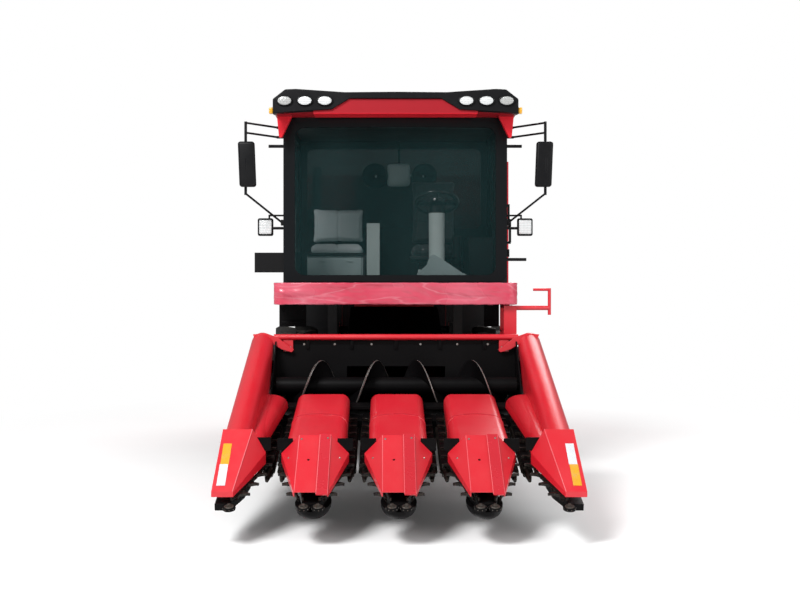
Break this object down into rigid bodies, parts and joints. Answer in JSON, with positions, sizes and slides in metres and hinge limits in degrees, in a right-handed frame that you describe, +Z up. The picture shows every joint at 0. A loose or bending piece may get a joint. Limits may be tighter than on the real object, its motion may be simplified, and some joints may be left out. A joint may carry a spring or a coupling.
{
  "type": "self-propelled corn harvester",
  "caption": "Self-propelled corn harvester with a snouted corn header, wide glazed cab, husker housing, straw chopper and side-tipping ear bin.",
  "frame": {"origin": "on the ground, in the middle of the machine's length and width", "axes": "+Z up, the machine faces -Y, +X is its own left side"},
  "size_m": [2.7, 7.6, 3.344],
  "materials": {
    "red_paint": "gloss enamel",
    "black_paint": "satin enamel",
    "frame_paint": "satin enamel",
    "wheel_paint": "semi-gloss enamel",
    "tyre_rubber": "matte",
    "bare_steel": "worn",
    "chain_steel": "oiled",
    "chrome_rod": "polished",
    "exhaust_steel": "matte",
    "engine_iron": "matte",
    "black_plastic": "satin",
    "cab_plastic": "satin",
    "seat_cloth": "woven",
    "lamp_lens": "clear lens",
    "tinted_glass": "tinted"
  },
  "bodies": {
    "machine": {"chassis_frame": "frame_paint", "front_axle": "frame_paint", "rear_axle": "frame_paint", "elevator": "red_paint", "husker_housing": "red_paint", "engine_block": "engine_iron", "engine_cover": "red_paint", "exhaust_pipe": "exhaust_steel", "fuel_tank": "black_paint", "boarding_ladder": "red_paint", "cab_floor": "black_paint", "front_skirt": "red_paint", "cab_frame": "black_paint", "cab_roof": "red_paint", "roof_visor": "black_plastic", "cab_glass": "tinted_glass", "lamps": "lamp_lens", "mirrors": "black_plastic", "seats": "seat_cloth", "steering_column": "cab_plastic", "chopper_housing": "red_paint"},
    "cab_door": {"door_frame": "black_paint", "door_glass": "tinted_glass"},
    "front_wheel_left": {"front_rim_left": "wheel_paint", "front_tyre_left": "tyre_rubber"},
    "front_wheel_right": {"front_rim_right": "wheel_paint", "front_tyre_right": "tyre_rubber"},
    "knuckle_left": {"knuckle_left": "frame_paint"},
    "knuckle_right": {"knuckle_right": "frame_paint"},
    "rear_wheel_left": {"rear_rim_left": "wheel_paint", "rear_tyre_left": "tyre_rubber"},
    "rear_wheel_right": {"rear_rim_right": "wheel_paint", "rear_tyre_right": "tyre_rubber"},
    "tie_rod": {"tie_rod": "bare_steel"},
    "header": {"header_frame": "black_paint", "auger_trough": "black_paint", "top_bar": "red_paint", "divider_hoods": "red_paint", "divider_snouts": "red_paint", "row_units": "black_paint", "gathering_chains": "chain_steel", "skid_shoes": "black_plastic", "feeder_house": "black_paint"},
    "header_auger": {"header_auger": "black_paint"},
    "lift_barrels": {"lift_barrels": "black_paint"},
    "lift_rods": {"lift_rods": "chrome_rod"},
    "ear_bin": {"ear_bin": "red_paint"},
    "bin_barrels": {"bin_barrels": "black_paint"},
    "bin_rods": {"bin_rods": "chrome_rod"},
    "chopper_rotor": {"chopper_rotor": "bare_steel"},
    "snapping_roll_1_right": {"snapping_roll_1_right": "bare_steel"},
    "snapping_roll_1_left": {"snapping_roll_1_left": "bare_steel"},
    "snapping_roll_2_right": {"snapping_roll_2_right": "bare_steel"},
    "snapping_roll_2_left": {"snapping_roll_2_left": "bare_steel"},
    "snapping_roll_3_right": {"snapping_roll_3_right": "bare_steel"},
    "snapping_roll_3_left": {"snapping_roll_3_left": "bare_steel"},
    "snapping_roll_4_right": {"snapping_roll_4_right": "bare_steel"},
    "snapping_roll_4_left": {"snapping_roll_4_left": "bare_steel"}
  },
  "joints": [
    {"name": "header_lift", "type": "hinge", "parent": "machine", "child": "header", "pos_m": [0, 0.2, 1.25], "axis": [-1, 0, 0], "range_deg": [-2, 12]},
    {"name": "auger_spin", "type": "hinge", "parent": "header", "child": "header_auger", "pos_m": [0, -1.95, 0.87], "axis": [1, 0, 0], "continuous": true},
    {"name": "front_wheel_left_spin", "type": "hinge", "parent": "machine", "child": "front_wheel_left", "pos_m": [0.93, -0.25, 0.65], "axis": [1, 0, 0], "continuous": true},
    {"name": "front_wheel_right_spin", "type": "hinge", "parent": "machine", "child": "front_wheel_right", "pos_m": [-0.93, -0.25, 0.65], "axis": [1, 0, 0], "continuous": true},
    {"name": "steer_left", "type": "hinge", "parent": "machine", "child": "knuckle_left", "pos_m": [0.65, 2.85, 0.4], "axis": [0, 0, 1], "range_deg": [-35, 35]},
    {"name": "steer_right", "type": "hinge", "parent": "machine", "child": "knuckle_right", "pos_m": [-0.65, 2.85, 0.4], "axis": [0, 0, 1], "range_deg": [-35, 35]},
    {"name": "tie_rod_pivot", "type": "hinge", "parent": "knuckle_left", "child": "tie_rod", "pos_m": [0.65, 3.05, 0.355], "axis": [0, 0, 1], "range_deg": [-35, 35]},
    {"name": "rear_wheel_left_spin", "type": "hinge", "parent": "knuckle_left", "child": "rear_wheel_left", "pos_m": [0.85, 2.85, 0.4], "axis": [1, 0, 0], "continuous": true},
    {"name": "rear_wheel_right_spin", "type": "hinge", "parent": "knuckle_right", "child": "rear_wheel_right", "pos_m": [-0.85, 2.85, 0.4], "axis": [1, 0, 0], "continuous": true},
    {"name": "cab_door_swing", "type": "hinge", "parent": "machine", "child": "cab_door", "pos_m": [1.003, 0.04, 2.4], "axis": [0, 0, 1], "range_deg": [0, 80]},
    {"name": "bin_tip", "type": "hinge", "parent": "machine", "child": "ear_bin", "pos_m": [1.02, 2.99, 1.6], "axis": [0, 1, 0], "range_deg": [0, 42]},
    {"name": "chopper_spin", "type": "hinge", "parent": "machine", "child": "chopper_rotor", "pos_m": [0, 1.15, 0.48], "axis": [1, 0, 0], "continuous": true},
    {"name": "roll_1_right_spin", "type": "hinge", "parent": "header", "child": "snapping_roll_1_right", "pos_m": [-0.89, -2.84683, 0.44585], "axis": [0, 0.9646, 0.2639], "continuous": true},
    {"name": "roll_1_left_spin", "type": "hinge", "parent": "header", "child": "snapping_roll_1_left", "pos_m": [-0.79, -2.84683, 0.44585], "axis": [0, 0.9646, 0.2639], "continuous": true},
    {"name": "roll_2_right_spin", "type": "hinge", "parent": "header", "child": "snapping_roll_2_right", "pos_m": [-0.33, -2.84683, 0.44585], "axis": [0, 0.9646, 0.2639], "continuous": true},
    {"name": "roll_2_left_spin", "type": "hinge", "parent": "header", "child": "snapping_roll_2_left", "pos_m": [-0.23, -2.84683, 0.44585], "axis": [0, 0.9646, 0.2639], "continuous": true},
    {"name": "roll_3_right_spin", "type": "hinge", "parent": "header", "child": "snapping_roll_3_right", "pos_m": [0.23, -2.84683, 0.44585], "axis": [0, 0.9646, 0.2639], "continuous": true},
    {"name": "roll_3_left_spin", "type": "hinge", "parent": "header", "child": "snapping_roll_3_left", "pos_m": [0.33, -2.84683, 0.44585], "axis": [0, 0.9646, 0.2639], "continuous": true},
    {"name": "roll_4_right_spin", "type": "hinge", "parent": "header", "child": "snapping_roll_4_right", "pos_m": [0.79, -2.84683, 0.44585], "axis": [0, 0.9646, 0.2639], "continuous": true},
    {"name": "roll_4_left_spin", "type": "hinge", "parent": "header", "child": "snapping_roll_4_left", "pos_m": [0.89, -2.84683, 0.44585], "axis": [0, 0.9646, 0.2639], "continuous": true},
    {"name": "lift_barrel_swing", "type": "hinge", "parent": "machine", "child": "lift_barrels", "pos_m": [0, -0.47, 0.52], "axis": [-1, 0, 0], "range_deg": [-3.02, 18.13]},
    {"name": "lift_rod_slide", "type": "slide", "parent": "lift_barrels", "child": "lift_rods", "axis": [0, -0.9936, 0.1129], "range_m": [-0.03022, 0.18135]},
    {"name": "bin_barrel_swing", "type": "hinge", "parent": "machine", "child": "bin_barrels", "pos_m": [0.45, 2.99, 0.7], "axis": [0, -1, 0], "range_deg": [-21.61, 0]},
    {"name": "bin_rod_slide", "type": "slide", "parent": "bin_barrels", "child": "bin_rods", "axis": [-0.5026, 0, 0.8645], "range_m": [0, 0.63885]}
  ],
  "couplings": [
    {"joint": "steer_right", "follows": "steer_left", "ratio": 1},
    {"joint": "tie_rod_pivot", "follows": "steer_left", "ratio": -1},
    {"joint": "roll_1_right_spin", "follows": "auger_spin", "ratio": -3},
    {"joint": "roll_1_left_spin", "follows": "auger_spin", "ratio": 3},
    {"joint": "roll_2_right_spin", "follows": "auger_spin", "ratio": -3},
    {"joint": "roll_2_left_spin", "follows": "auger_spin", "ratio": 3},
    {"joint": "roll_3_right_spin", "follows": "auger_spin", "ratio": -3},
    {"joint": "roll_3_left_spin", "follows": "auger_spin", "ratio": 3},
    {"joint": "roll_4_right_spin", "follows": "auger_spin", "ratio": -3},
    {"joint": "roll_4_left_spin", "follows": "auger_spin", "ratio": 3},
    {"joint": "lift_barrel_swing", "follows": "header_lift", "ratio": 1.4813},
    {"joint": "lift_rod_slide", "follows": "header_lift", "m_per_rad": 0.8489},
    {"joint": "bin_barrel_swing", "follows": "bin_tip", "ratio": -0.50452},
    {"joint": "bin_rod_slide", "follows": "bin_tip", "m_per_rad": 0.85442}
  ]
}
